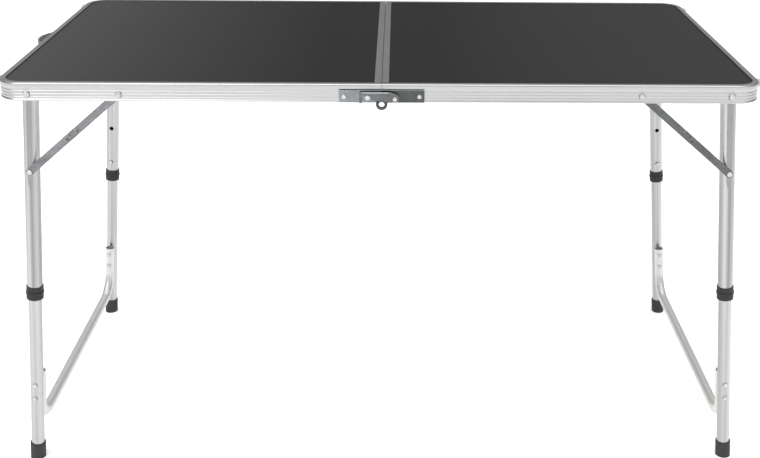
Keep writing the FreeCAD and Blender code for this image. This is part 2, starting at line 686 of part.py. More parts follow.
def lower_tube(label, sign):
    """Inner leg tube with its button hole and the crossbar rivet holes."""
    body = new_body(label)
    along = sign * dim("leg_side")
    radius, wall = dim("lower_radius"), dim("tube_wall")
    solid_step(body, "tube", "XY_Plane", -LEG_LONG + dim("foot_sole"), -dim("lower_end"),
               circles=[(0, along, radius), (0, along, radius - wall)])
    wide = radius + 8
    solid_step(body, "button_hole", "XZ_Plane", along, along - sign * wide,
               circles=[(0, -dim("button_down"), dim("button_hole"))], cut=True)
    hole = dim("bar_rivet_radius") + dim("rivet_fit")
    solid_step(body, "rivet_holes", "XZ_Plane", along - wide, along + wide,
               circles=[(0, -dim("bar_rivet_upper"), hole),
                        (0, -dim("bar_rivet_lower"), hole)], cut=True)


def foot_cap(label, side, sign):
    """Rubber cap with its sole cut level with the floor."""
    body = new_body(label)
    along = sign * dim("leg_side")
    rim, sole = dim("foot_radius"), dim("foot_sole")
    solid_step(body, "cap", "XY_Plane", -LEG_LONG - 4, -LEG_LONG + dim("foot_tall"),
               circles=[(0, along, rim)])
    solid_step(body, "socket", "XY_Plane", -LEG_LONG + sole,
               -LEG_LONG + dim("foot_tall") + 1,
               circles=[(0, along, dim("lower_radius") + dim("press_fit"))], cut=True)
    wide = rim + 4
    rise = side * SPLAY_SLOPE
    floor = [(-wide, -LEG_LONG + rise * wide), (wide, -LEG_LONG - rise * wide),
             (wide, -LEG_LONG - wide), (-wide, -LEG_LONG - wide)]
    solid_step(body, "level_sole", "XZ_Plane", along - wide, along + wide,
               chains=[floor], cut=True)


def crossbar(label):
    """Bent tube between the inner tubes, with both ends turned up along them."""
    body = new_body(label)
    radius = dim("bar_radius")
    across = dim("leg_side") - dim("lower_radius") - radius
    top, low = -dim("bar_top"), -dim("bar_down")
    profile = new_sketch(body, "bar_section", "XY_Plane", top)
    draw_circle(profile, 0, -across, radius)
    draw_circle(profile, 0, -across, radius - dim("tube_wall"))
    piped_step(body, "bar", profile, "YZ_Plane",
               [(-across, top), (-across, low, dim("bar_bend")),
                (across, low, dim("bar_bend")), (across, top)])
    hole = dim("bar_rivet_radius") + dim("rivet_fit")
    solid_step(body, "rivet_holes", "XZ_Plane", -HALF_WIDE, HALF_WIDE,
               circles=[(0, -dim("bar_rivet_upper"), hole),
                        (0, -dim("bar_rivet_lower"), hole)], cut=True)


def crossbar_rivets(label):
    """Four rivets through the inner tubes and the turned-up ends of the crossbar."""
    body = new_body(label, several=True)
    seat = dim("leg_side") + dim("lower_radius")
    tail = dim("leg_side") - dim("lower_radius") - dim("bar_radius") * 2
    for end, sign in ENDS:
        for place in ("upper", "lower"):
            turned_step(body, end + "_" + place, 0, -dim("bar_rivet_" + place),
                        rivet_profile(sign, seat + dim("head_tall"), seat, tail,
                                      tail - dim("tail_tall"), dim("bar_rivet_radius"),
                                      dim("bar_rivet_head")))


def leg_rivets(label):
    """Brace rivets through the outer tubes, with the brace held under their heads."""
    body = new_body(label, several=True)
    seat = ARM_INNER + 0.25
    tail = dim("leg_side") - dim("upper_radius")
    for end, sign in ENDS:
        turned_step(body, end + "_brace_rivet", 0, -dim("brace_on_leg"),
                    rivet_profile(sign, seat + 1.5, seat, tail, tail - dim("tail_tall"),
                                  dim("brace_rivet_radius"), dim("brace_rivet_head"), 1))


# ---------------------------------------------------------------------- braces


def upper_arm(label, side, sign):
    """Stepped flat arm pivoted on the rail, with the peened middle rivet."""
    body = new_body(label)
    half = dim("arm_wide") / 2
    long = dim("brace_upper")
    thick = dim("arm_thick")
    outer, inner = ARM_OUTER, UPPER_ARM_FACE
    first, last = dim("joggle_in"), dim("joggle_out")
    end_at = long + dim("arm_past")
    corners = [(-half, sign * outer), (first, sign * outer), (last, sign * inner),
               (end_at, sign * inner), (end_at, sign * (inner - thick)),
               (last, sign * (inner - thick)), (first, sign * (outer - thick)),
               (-half, sign * (outer - thick))]
    strip = [(side * x, y) for x, y in corners]
    solid_step(body, "strip", "XY_Plane", -half, half, chains=[strip])
    wide = half + 4
    for name, centre, way in (("rail_end", 0, -1), ("free_end", end_at - half, 1)):
        tip = Term.of(centre) + way * half

        def at(along, up, *rounding):
            return (side * along, up) + rounding

        solid_step(body, name, "XZ_Plane", sign * (inner - thick - 2), sign * (outer + 2),
                   chains=[[at(Term.of(centre), half), at(tip, half, half - 0.1),
                            at(tip, -half, half - 0.1), at(Term.of(centre), -half),
                            at(Term.of(centre), -wide), at(tip + way * 4, -wide),
                            at(tip + way * 4, wide), at(Term.of(centre), wide)]],
                   cut=True)
    solid_step(body, "pin_hole", "XZ_Plane", sign * (outer - thick - 1), sign * (outer + 1),
               circles=[(0, 0, dim("pin_radius") + dim("turn_fit"))], cut=True)
    slot_at, slot_half = long + dim("arm_slot_along"), dim("slot_half")
    slot_low, slot_high = dim("slot_low"), dim("slot_high")
    solid_step(body, "free_holes", "XZ_Plane", sign * (inner - thick - 1), sign * (inner + 1),
               circles=[(side * (long + dim("arm_hole_along")), -1, dim("arm_hole"))],
               chains=[[(side * (slot_at - slot_half), slot_low, 1.1),
                        (side * (slot_at + slot_half), slot_low, 1.1),
                        (side * (slot_at + slot_half), slot_high, 1.1),
                        (side * (slot_at - slot_half), slot_high, 1.1)]], cut=True)
    turned_step(body, "middle_rivet", side * long, 0,
                [(sign * (inner + dim("tail_tall")), 0),
                 (sign * (inner + dim("tail_tall")), dim("brace_rivet_head"), 1.2),
                 (sign * (inner - 0.2), dim("brace_rivet_head")), (sign * (inner - 0.2), 0)])
    lie_along_brace(body, side, Term.of(0))


def lower_arm(label, side, sign):
    """Flat arm with a pressed channel, pivoted on the leg tube."""
    body = new_body(label)
    half = dim("arm_wide") / 2
    long = dim("brace_lower")
    thick = dim("arm_thick")
    back = ARM_INNER - thick

    def at(along, up, *rounding):
        return (side * along, up) + rounding

    start = -half
    solid_step(body, "strip", "XZ_Plane", sign * back, sign * ARM_INNER,
               chains=[[at(start, half, half - 0.1), at(long + half, half, half - 0.1),
                        at(long + half, -half, half - 0.1), at(start, -half, half - 0.1)]])
    solid_step(body, "pin_hole", "XZ_Plane", sign * (back - 1), sign * (ARM_INNER + 1),
               circles=[(side * long, 0, dim("brace_rivet_radius") + dim("turn_fit")),
                        (0, 0, dim("arm_eye"))], cut=True)
    first, last, edge = dim("channel_from"), long - dim("channel_end"), dim("channel_half")
    solid_step(body, "channel", "XZ_Plane", sign * (ARM_INNER - dim("channel_deep")),
               sign * (ARM_INNER + dim("channel_deep")),
               chains=[[at(first, edge, 2), at(last, edge, 2), at(last, -edge, 2),
                        at(first, -edge, 2)]], cut=True)
    lie_along_brace(body, side, dim("brace_upper"))


# --------------------------------------------------------------------- assembly

TOP_OF_CORE = HEIGHT - dim("skin") - dim("laminate_thick")

for name, side in SIDES:
    edge_rail(name + "_edge_rail", side)
    centre_rail(name + "_centre_rail", side)
    board_sheet(name + "_board_core", side,
                HEIGHT - dim("skin") - dim("slot_tall"), TOP_OF_CORE)
    board_sheet(name + "_board_laminate", side, TOP_OF_CORE, HEIGHT - dim("skin"))
    frame_rivets(name + "_frame_rivets", side)
    leg_bushes(name + "_leg_bushes", side)
    plate_rivets(name + "_plate_rivets", side)
    end_catches(name + "_end_catches", side)
    for end, sign in ENDS:
        hinge_plate("%s_%s_hinge_plate" % (name, end), side, sign)
        corner = "%s_%s_" % (name, end)
        upper_tube(corner + "upper_tube", sign)
        stand_on_leg(nodes[-1], side)
        collar(corner + "collar", sign)
        stand_on_leg(nodes[-1], side)
        spring_button(corner + "button", sign)
        stand_on_leg(nodes[-1], side)
        lower_tube(corner + "lower_tube", sign)
        stand_on_leg(nodes[-1], side)
        foot_cap(corner + "foot_cap", side, sign)
        stand_on_leg(nodes[-1], side)
        upper_arm(corner + "upper_arm", side, sign)
        lower_arm(corner + "lower_arm", side, sign)
    crossbar(name + "_crossbar")
    stand_on_leg(nodes[-1], side)
    crossbar_rivets(name + "_crossbar_rivets")
    stand_on_leg(nodes[-1], side)
    leg_rivets(name + "_leg_rivets")
    stand_on_leg(nodes[-1], side)

for end, sign in ENDS:
    hinge_eyelet(end + "_hinge_eyelet", sign)
    latch_hook(end + "_latch_hook", sign)
carry_handle("carry_handle")
handle_screws("handle_screws")

doc.recompute()

for thing in doc.Objects:
    if "Invalid" in thing.State or "Error" in thing.State:
        raise RuntimeError("failed object: " + thing.Name + " " + thing.Label)
os.makedirs("parts", exist_ok=True)
for node in nodes:
    if node.Shape.isNull() or not node.Shape.isValid():
        raise RuntimeError("bad shape: " + node.Label)
for node in nodes:
    node.Shape.exportStep("parts/%s.step" % node.Label)
print("%d sub-parts written" % len(nodes))
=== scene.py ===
"""Looks for the folding table: finishes, softened edges, studio and camera."""

import logging
import math
from dataclasses import dataclass, field
from enum import Enum
from typing import Any, Optional, Union

import bmesh
import bpy
from mathutils import Matrix, Vector


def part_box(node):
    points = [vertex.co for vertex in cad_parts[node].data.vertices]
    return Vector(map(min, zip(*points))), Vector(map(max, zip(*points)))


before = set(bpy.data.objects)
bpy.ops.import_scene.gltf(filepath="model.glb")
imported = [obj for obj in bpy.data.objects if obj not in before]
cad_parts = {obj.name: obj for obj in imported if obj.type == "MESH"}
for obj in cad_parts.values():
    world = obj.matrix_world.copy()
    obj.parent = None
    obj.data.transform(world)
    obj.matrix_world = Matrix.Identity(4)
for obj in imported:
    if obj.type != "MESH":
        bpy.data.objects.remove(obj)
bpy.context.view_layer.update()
log = logging.getLogger("folding_table")


RAIL_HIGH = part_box("right_edge_rail")[1]
CORNER_ROUND = 0.040
RAIL_LIP = 0.010
TOP_OUTLINE = (RAIL_HIGH[0], RAIL_HIGH[1], CORNER_ROUND)


# ----------------------------------------------------------------- node graphs


class Signal:
    """A number, colour or vector that flows through a shader graph."""

    def __init__(self, graph: "Graph", socket: bpy.types.NodeSocket) -> None:
        """Wrap a socket.

        Args:
            graph: The graph that the socket's node belongs to.
            socket: The output socket.
        """
        self.graph = graph
        self.socket = socket

    def _math(self, operation: str, first: Any, second: Any) -> "Signal":
        """Add one Math node.

        Args:
            operation: The node's operation.
            first: The first value or signal.
            second: The second value or signal.

        Returns:
            The node's result.
        """
        return self.graph.node("ShaderNodeMath", {"operation": operation},
                               {0: first, 1: second})

    def __add__(self, other: "Number") -> "Signal":
        """Sum."""
        return self._math("ADD", self, other)

    def __radd__(self, other: "Number") -> "Signal":
        """Sum, reflected."""
        return self._math("ADD", other, self)

    def __sub__(self, other: "Number") -> "Signal":
        """Difference."""
        return self._math("SUBTRACT", self, other)

    def __rsub__(self, other: "Number") -> "Signal":
        """Difference, reflected."""
        return self._math("SUBTRACT", other, self)

    def __mul__(self, other: "Number") -> "Signal":
        """Product."""
        return self._math("MULTIPLY", self, other)

    def __rmul__(self, other: "Number") -> "Signal":
        """Product, reflected."""
        return self._math("MULTIPLY", other, self)

    def __truediv__(self, other: "Number") -> "Signal":
        """Quotient."""
        return self._math("DIVIDE", self, other)

    def __pow__(self, other: "Number") -> "Signal":
        """Power."""
        return self._math("POWER", self, other)

    def held(self) -> "Signal":
        """The value held between 0 and 1."""
        return self._math("MAXIMUM", self._math("MINIMUM", self, 1.0), 0.0)

    def magnitude(self) -> "Signal":
        """The value without its sign."""
        return self.graph.node("ShaderNodeMath", {"operation": "ABSOLUTE"}, {0: self})

    def part(self, axis: str) -> "Signal":
        """The X, Y or Z part of a vector."""
        return self.graph.node("ShaderNodeSeparateXYZ", {}, {0: self}, output=axis)


Number = Union[float, Signal]
Colour = tuple[float, float, float]


def scaled(shade: Colour, factor: float) -> Colour:
    """Make a colour darker or lighter.

    Args:
        shade: The colour.
        factor: Below 1 for darker, above 1 for lighter.

    Returns:
        The new colour, no brighter than white.
    """
    red, green, blue = (min(1.0, part * factor) for part in shade)
    return red, green, blue


class Graph:
    """A node tree with one method for adding nodes."""

    def __init__(self, tree: bpy.types.NodeTree) -> None:
        """Start from an emptied tree.

        Args:
            tree: The node tree of a material or a world.
        """
        self.tree = tree
        tree.nodes.clear()

    def node(self, kind: str, settings: Optional[dict[str, Any]] = None,
             inputs: Optional[dict[Any, Any]] = None, output: Any = 0) -> Signal:
        """Add a node.

        Args:
            kind: The node's type.
            settings: Properties set first; "stops" fills a colour ramp.
            inputs: Socket values or signals by index or name.
            output: Which output to wrap.

        Returns:
            The chosen output.
        """
        made = self.tree.nodes.new(kind)
        for name, value in (settings or {}).items():
            if name == "stops":
                ramp = made.color_ramp
                while len(ramp.elements) < len(value):
                    ramp.elements.new(0.5)
                for element, (place, shade) in zip(ramp.elements, value):
                    element.position = place
                    element.color = (*shade, 1.0)
            else:
                setattr(made, name, value)
        for name, value in (inputs or {}).items():
            socket = made.inputs[name]
            if isinstance(value, Signal):
                self.tree.links.new(value.socket, socket)
            elif isinstance(value, tuple) and socket.type == "RGBA":
                socket.default_value = (*value, 1.0)
            else:
                socket.default_value = value
        return Signal(self, made.outputs[output] if len(made.outputs) else None)

    def place(self) -> Signal:
        """The point on the surface in the object's own metres."""
        return self.node("ShaderNodeTexCoord", output="Object")

    def stretched(self, scale: tuple[float, float, float]) -> Signal:
        """The surface point scaled along each axis.

        Args:
            scale: Factors along X, Y and Z.

        Returns:
            The scaled vector.
        """
        return self.vector("MULTIPLY", self.place(), scale)

    def facing(self) -> Signal:
        """The direction that the surface faces, in the object's own axes."""
        return self.node("ShaderNodeTexCoord", output="Normal")

    def vector(self, operation: str, first: Any, second: Any = (0.0, 0.0, 0.0),
               output: str = "Vector") -> Signal:
        """Add one Vector Math node.

        Args:
            operation: The node's operation.
            first: The first vector.
            second: The second vector.
            output: "Vector", or "Value" where the result is a number.

        Returns:
            The result.
        """
        return self.node("ShaderNodeVectorMath", {"operation": operation},
                         {0: first, 1: second}, output=output)

    def edge_distance(self) -> Signal:
        """How far a point lies outside the outline of the top, in metres.

        Returns:
            The distance, negative inside; it holds within a corner radius of the edge.
        """
        half_long, half_wide, corner = TOP_OUTLINE
        flat = self.vector("MULTIPLY", self.vector("ABSOLUTE", self.place()), (1.0, 1.0, 0.0))
        past = self.vector("SUBTRACT", flat, (half_long - corner, half_wide - corner, 0.0))
        past = self.vector("MAXIMUM", past, (0.0, 0.0, 0.0))
        return self.vector("LENGTH", past, output="Value") - corner

    def noise(self, where: Signal, scale: float, detail: float = 3.0,
              rough: float = 0.5) -> Signal:
        """Fractal noise about one half.

        Args:
            where: The coordinates.
            scale: How fine the noise is.
            detail: The number of octaves.
            rough: How strong the fine octaves are.

        Returns:
            The noise value.
        """
        return self.node("ShaderNodeTexNoise", {"noise_dimensions": "3D"},
                         {"Vector": where, "Scale": scale, "Detail": detail,
                          "Roughness": rough})

    def mix(self, factor: Number, first: Any, second: Any) -> Signal:
        """Mix two colours.

        Args:
            factor: How much of the second.
            first: The first colour.
            second: The second colour.

        Returns:
            The mixed colour.
        """
        return self.node("ShaderNodeMix", {"data_type": "RGBA"},
                         {0: factor, 6: first, 7: second}, output=2)

    def multiplied(self, first: Any, second: Any) -> Signal:
        """Multiply two colours.

        Args:
            first: The first colour.
            second: The second colour.

        Returns:
            The product.
        """
        return self.node("ShaderNodeMix", {"data_type": "RGBA", "blend_type": "MULTIPLY"},
                         {0: 1.0, 6: first, 7: second}, output=2)

    def bump(self, height: Signal, strength: float, distance: float) -> Signal:
        """A normal bent by a height signal.

        Args:
            height: The height.
            strength: How much of it shows.
            distance: The height in metres that 1 stands for.

        Returns:
            The bent normal.
        """
        return self.node("ShaderNodeBump", {},
                         {"Strength": strength, "Distance": distance, "Height": height})

    def surface(self, inputs: dict[str, Any]) -> None:
        """Finish the graph with one Principled shader.

        Args:
            inputs: The shader's sockets.
        """
        shader = self.node("ShaderNodeBsdfPrincipled", {}, inputs)
        self.node("ShaderNodeOutputMaterial", {}, {"Surface": shader})


# -------------------------------------------------------------------- finishes


@dataclass(frozen=True)
class Finish:
    """Base of all finishes."""

    name: str

    def graph(self) -> tuple[bpy.types.Material, Graph]:
        """Make the empty material.

        Returns:
            The material and its graph.
        """
        material = bpy.data.materials.new(self.name)
        material.use_nodes = True
        return material, Graph(material.node_tree)

    def build(self) -> bpy.types.Material:
        """Make the material."""
        raise NotImplementedError


class Grain(Enum):
    """Which way the die lines of a drawn metal run."""

    ROUND_THE_TOP = "round"
    ACROSS = "across"
    DOWN_THE_LEG = "down"


@dataclass(frozen=True)
class DrawnMetal(Finish):
    """Satin extruded or drawn metal with fine die lines along its length."""

    shade: Colour = (0.80, 0.80, 0.79)
    grain: Grain = Grain.ROUND_THE_TOP
    contrast: float = 0.10
    roughness: float = 0.34
    lines: float = 0.12
    metallic: float = 1.0
    # Painted reflection bands: shade set by the way the surface faces round a tube's section.
    reflection_bands: tuple[tuple[float, float], ...] = ()

    def lines_at(self, g: Graph) -> Signal:
        """Coordinates that change quickly across the die lines and slowly along them.

        Args:
            g: The material's graph.

        Returns:
            The coordinates.
        """
        fine, slow = 900.0, 0.4
        if self.grain is Grain.ROUND_THE_TOP:
            return g.node("ShaderNodeCombineXYZ", {}, {
                "X": g.edge_distance() * fine, "Y": g.place().part("Z") * fine, "Z": 0.0})
        if self.grain is Grain.ACROSS:
            return g.stretched((fine, slow, fine))
        section, length = 420.0, 5.0
        return g.stretched((section, section, length))

    def build(self) -> bpy.types.Material:
        """Streaked, faintly clouded metal, with painted reflection bands round a tube's
        section.

        Returns:
            The material.
        """
        material, g = self.graph()
        streaks = g.noise(self.lines_at(g), 1.0, 4.0, 0.6)
        clouds = g.noise(g.place(), 9.0, 3.0)
        wear = (streaks - 0.5) * self.contrast + (clouds - 0.5) * 0.12 + 0.5
        dark = scaled(self.shade, 0.80)
        light = scaled(self.shade, 1.12)
        colour = g.mix(wear.held(), dark, light)
        # Painted reflection: light and dark bands set by the way the surface faces.
        if self.reflection_bands:
            stops = [(place, (tone, tone, tone)) for place, tone in self.reflection_bands]
            around = g.facing().part("X") * 0.5 + 0.5
            painted_bands = g.node("ShaderNodeValToRGB", {"stops": stops}, {0: around})
            colour = g.multiplied(colour, painted_bands)
        g.surface({
            "Base Color": colour,
            "Metallic": self.metallic,
            "Roughness": (self.roughness + (streaks - 0.5) * 0.22
                          + (clouds - 0.5) * 0.10).held(),
            "Normal": g.bump(streaks, self.lines, 0.0004),
        })
        return material


@dataclass(frozen=True)
class PlatedSteel(Finish):
    """Zinc-plated pressed steel: cloudy patches and rolling marks."""

    shade: Colour = (0.30, 0.31, 0.325)
    roughness: float = 0.30
    patch: float = 120.0
    # Painted shadow: flanks that face down and inward are darkened, standing in for the
    # shadow under rivet heads.
    flank_shadow: float = 0.0
    flank_shadow_colour: Colour = (0.02, 0.02, 0.02)
    # Painted highlight: faces that face up are lightened and made less metallic.
    top_highlight: float = 0.0
    top_highlight_colour: Colour = (0.62, 0.63, 0.64)

    def build(self) -> bpy.types.Material:
        """Cloudy plated metal, with painted shadow on the flanks that face down and a painted
        highlight on faces that face up.

        Returns:
            The material.
        """
        material, g = self.graph()
        clouds = g.noise(g.place(), self.patch, 4.0, 0.65)
        broad = g.noise(g.place(), self.patch / 5, 2.0)
        grain = g.noise(g.place(), 2200.0, 2.0)
        mask = ((clouds - 0.5) * 1.6 + (broad - 0.5) * 1.2 + 0.5).held()
        dark = scaled(self.shade, 0.62)
        light = scaled(self.shade, 1.22)
        colour = g.mix(mask, dark, light)
        # Painted shadow under the heads, on flanks that face down and inward.
        if self.flank_shadow:
            facing = g.facing()
            inward = facing.part("X") * g.place().part("X") * -1.2
            flank_shadow_mask = (0.35 + inward - facing.part("Z")) * (1.0 - facing.part("Y").magnitude())
            colour = g.mix((flank_shadow_mask * self.flank_shadow).held(), colour, self.flank_shadow_colour)
        metallic: Number = 1.0
        # Painted highlight: faces that face up are lightened and made less metallic.
        if self.top_highlight:
            upward = ((g.facing().part("Z") - 0.35) * 2.5 * self.top_highlight).held()
            colour = g.mix(upward, colour, self.top_highlight_colour)
            metallic = 1.0 - upward * 0.8
        g.surface({
            "Base Color": colour,
            "Metallic": metallic,
            "Roughness": (self.roughness + (clouds - 0.5) * 0.30).held(),
            "Normal": g.bump(grain + clouds, 0.12, 0.0003),
        })
        return material


@dataclass(frozen=True)
class Laminate(Finish):
    """Matt charcoal laminate with a fine pressed texture."""

    shade: Colour = (0.0145, 0.0143, 0.0162)
    # Painted sheen: the sheet is lighter towards the ends, more on the left.
    sheen_colour: Colour = (0.055, 0.053, 0.053)
    # Painted shadow: a dark line along the inner edge of the lip.
    lip_shadow_width: float = 0.0028
    lip_shadow_colour: Colour = (0.002, 0.0018, 0.0018)

    def build(self) -> bpy.types.Material:
        """Speckled sheet with a painted sheen, paler towards the ends, and a painted shadow
        line along the lip.

        Returns:
            The material.
        """
        material, g = self.graph()
        pores = g.noise(g.place(), 1500.0, 3.0, 0.6)
        clouds = g.noise(g.place(), 3.0, 2.0)
        mask = ((pores - 0.5) * 0.8 + (clouds - 0.5) * 0.8 + 0.5).held()
        dark = scaled(self.shade, 0.82)
        light = scaled(self.shade, 1.20)
        # Painted shadow line along the lip's inner edge.
        line = ((g.edge_distance() + RAIL_LIP + self.lip_shadow_width) / self.lip_shadow_width).held()
        along = g.place().part("X")
        # Painted sheen: paler towards the ends, more on the left.
        painted_sheen = ((along.magnitude() - 0.10) * 2.0).held() * (0.75 - along * 0.6)
        sheet = g.mix(painted_sheen, g.mix(mask, dark, light), self.sheen_colour)
        g.surface({
            "Base Color": g.mix(line ** 0.6, sheet, self.lip_shadow_colour),
            "Roughness": (0.50 + (pores - 0.5) * 0.20 + (clouds - 0.5) * 0.10).held(),
            "Specular IOR Level": 0.08,
            "Normal": g.bump(pores, 0.25, 0.0002),
        })
        return material


@dataclass(frozen=True)
class Moulding(Finish):
    """Moulded plastic or rubber with a fine spark-eroded grain."""

    shade: Colour = (0.045, 0.044, 0.043)
    roughness: float = 0.55
    grain: float = 1800.0

    def build(self) -> bpy.types.Material:
        """Grained moulding with slight scuffs.

        Returns:
            The material.
        """
        material, g = self.graph()
        grain = g.noise(g.place(), self.grain, 2.0)
        scuffs = g.noise(g.place(), 60.0, 4.0, 0.7)
        dark = scaled(self.shade, 0.85)
        light = scaled(self.shade, 1.25)
        g.surface({
            "Base Color": g.mix(((scuffs - 0.5) * 1.2 + 0.5).held(), dark, light),
            "Roughness": (self.roughness + (scuffs - 0.5) * 0.25).held(),
            "Normal": g.bump(grain, 0.30, 0.0002),
        })
        return material


@dataclass(frozen=True)
class Fibreboard(Finish):
    """Pressed fibreboard, seen on the underside of the boards."""

    shade: Colour = (0.33, 0.235, 0.15)

    def build(self) -> bpy.types.Material:
        """Short pressed fibres.

        Returns:
            The material.
        """
        material, g = self.graph()
        fibres = g.noise(g.stretched((500.0, 160.0, 300.0)), 1.0, 4.0, 0.7)
        clouds = g.noise(g.place(), 14.0, 3.0)
        mask = ((fibres - 0.5) * 1.4 + (clouds - 0.5) * 0.8 + 0.5).held()
        dark = scaled(self.shade, 0.70)
        light = scaled(self.shade, 1.25)
        g.surface({
            "Base Color": g.mix(mask, dark, light),
            "Roughness": (0.78 + (fibres - 0.5) * 0.20).held(),
            "Normal": g.bump(fibres, 0.35, 0.0004),
        })
        return material


@dataclass(frozen=True)
class StudioFloor(Finish):
    """Plain pale studio floor or backdrop."""

    shade: Colour = (0.93, 0.93, 0.93)
    glow: float = 0.40

    def build(self) -> bpy.types.Material:
        """Matt white with an even glow.

        Returns:
            The material.
        """
        material, g = self.graph()
        g.surface({"Base Color": self.shade, "Roughness": 0.95, "Specular IOR Level": 0.1,
                   "Emission Color": (1.0, 1.0, 1.0), "Emission Strength": self.glow})
        return material


# Painted reflection bands round the leg tubes, set by the way the surface faces.
OUTER_REFLECTION_BANDS = ((0.0, 0.70), (0.14, 0.76), (0.27, 1.0), (0.38, 0.88), (0.50, 0.58),
               (0.58, 0.50), (0.70, 0.70), (0.84, 0.90), (1.0, 0.72))
INNER_REFLECTION_BANDS = ((0.0, 0.78), (0.20, 0.80), (0.36, 0.90), (0.54, 0.72), (0.70, 0.90),
               (0.86, 1.0), (1.0, 0.88))
MADE: dict[str, bpy.types.Material] = {}


class Stock(Enum):
    """The finishes that the table is made in."""

    RAIL = DrawnMetal("satin_rail", shade=(0.55, 0.552, 0.553), contrast=0.06,
                      roughness=0.34, lines=0.06)
    SEAM = DrawnMetal("satin_seam_rail", shade=(0.47, 0.47, 0.465), grain=Grain.ACROSS,
                      roughness=0.34)
    OUTER_TUBE = DrawnMetal("satin_outer_tube", shade=(0.53, 0.53, 0.53),
                            grain=Grain.DOWN_THE_LEG, contrast=0.30, roughness=0.30,
                            reflection_bands=OUTER_REFLECTION_BANDS)
    INNER_TUBE = DrawnMetal("satin_inner_tube", shade=(0.57, 0.57, 0.57),
                            grain=Grain.DOWN_THE_LEG, contrast=0.30, roughness=0.30,
                            reflection_bands=INNER_REFLECTION_BANDS)
    BAR = DrawnMetal("satin_crossbar", shade=(0.76, 0.76, 0.76), grain=Grain.ACROSS,
                     contrast=0.22, roughness=0.46, metallic=0.70)
    # In the plated finishes below, the edge setting paints a highlight on faces that face up.
    ZINC = PlatedSteel("zinc_arms", shade=(0.235, 0.24, 0.25), top_highlight=0.6)
    # Painted shade: a darker copy of the arm finish, for the right-hand arms.
    DARK_ZINC = PlatedSteel("arms_painted_shade", shade=(0.135, 0.143, 0.141), top_highlight=0.6)
    PLATE = PlatedSteel("zinc_plate", shade=(0.26, 0.275, 0.29), roughness=0.30, patch=90.0,
                        top_highlight=1.0)
    # Painted shade: a darker copy of the plate finish, for the right-hand plates.
    DARK_PLATE = PlatedSteel("plate_painted_shade", shade=(0.095, 0.103, 0.104), roughness=0.34,
                             patch=90.0, top_highlight=1.0)
    HOOK = PlatedSteel("zinc_hook", shade=(0.17, 0.175, 0.18), roughness=0.30, patch=90.0,
                       top_highlight=1.0)
    # Painted shade: the eyelet is made darker than the plates, standing in for the shade of
    # its recess.
    EYELET = PlatedSteel("eyelet_painted_shade", shade=(0.09, 0.09, 0.095), roughness=0.34)
    # The rivets carry a painted shadow on the flanks under their heads.
    RIVET = PlatedSteel("bright_rivets", shade=(0.60, 0.60, 0.60), roughness=0.34,
                        patch=300.0, flank_shadow=1.2)
    LAMINATE = Laminate("charcoal_laminate")
    CORE = Fibreboard("bare_fibreboard")
    COLLAR = Moulding("black_collar", shade=(0.012, 0.012, 0.012))
    RUBBER = Moulding("black_foot_rubber", shade=(0.032, 0.031, 0.031), roughness=0.70)
    GRIP = Moulding("grey_grip", shade=(0.135, 0.132, 0.128), roughness=0.52)
    CATCH = Moulding("pale_catch", shade=(0.50, 0.50, 0.50), roughness=0.40)

    @property
    def material(self) -> bpy.types.Material:
        """The material, made the first time it is asked for."""
        if self.value.name not in MADE:
            MADE[self.value.name] = self.value.build()
        return MADE[self.value.name]


# ------------------------------------------------------------------ assemblies


class Side(Enum):
    """The two halves of the table, by the word in their node names."""

    LEFT = "left"
    RIGHT = "right"


class End(Enum):
    """Front and rear, by the word in their node names."""

    FRONT = "front"
    REAR = "rear"


@dataclass
class Assembly:
    """Base of the table's sub-assemblies."""

    edge: float = 0.0

    def dress(self, node: str, stock: Stock, edge: Optional[float] = None) -> None:
        """Give a solid its finish and soften its sharp edges.

        Args:
            node: The node's name.
            stock: The finish.
            edge: The width of the softened edges in metres.
        """
        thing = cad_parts[node]
        thing.data.materials.clear()
        thing.data.materials.append(stock.material)
        width = self.edge if edge is None else edge
        if width > 0:
            soft = thing.modifiers.new("soft_edges", "BEVEL")
            soft.width = width
            soft.segments = 2
            soft.limit_method = "ANGLE"
            soft.angle_limit = math.radians(35)
            soft.harden_normals = False
        log.info("dressed %s as %s", node, stock.value.name)

    def build(self) -> None:
        """Build and dress the assembly."""
        raise NotImplementedError


@dataclass
class TopFrame(Assembly):
    """Edge rails, centre rails, boards, rivets, bushes and end catches."""

    edge: float = 0.0002

    def build(self) -> None:
        """Dress the frame of both halves."""
        for side in Side:
            self.dress(side.value + "_edge_rail", Stock.RAIL, 0.0)
            self.dress(side.value + "_centre_rail", Stock.SEAM, 0.0)
            self.dress(side.value + "_board_laminate", Stock.LAMINATE, 0.0)
            self.dress(side.value + "_board_core", Stock.CORE, 0.0)
            self.dress(side.value + "_frame_rivets", Stock.RIVET, 0.0)
            self.dress(side.value + "_leg_bushes", Stock.COLLAR)
            self.dress(side.value + "_end_catches", Stock.CATCH, 0.0006)


@dataclass
class CentreHinge(Assembly):
    """Hinge plates, eyelets, latch hooks and their rivets."""

    edge: float = 0.00025

    def build(self) -> None:
        """Dress the hinge at the front and the rear."""
        for side in Side:
            # Painted shade: the right-hand plates take the darker copy of the plate finish.
            plate = Stock.PLATE if side is Side.LEFT else Stock.DARK_PLATE
            self.dress(side.value + "_plate_rivets", Stock.RIVET, 0.0)
            for end in End:
                self.dress("%s_%s_hinge_plate" % (side.value, end.value), plate)
        for end in End:
            self.dress(end.value + "_hinge_eyelet", Stock.EYELET, 0.0)
            self.dress(end.value + "_latch_hook", Stock.HOOK, 0.0003)


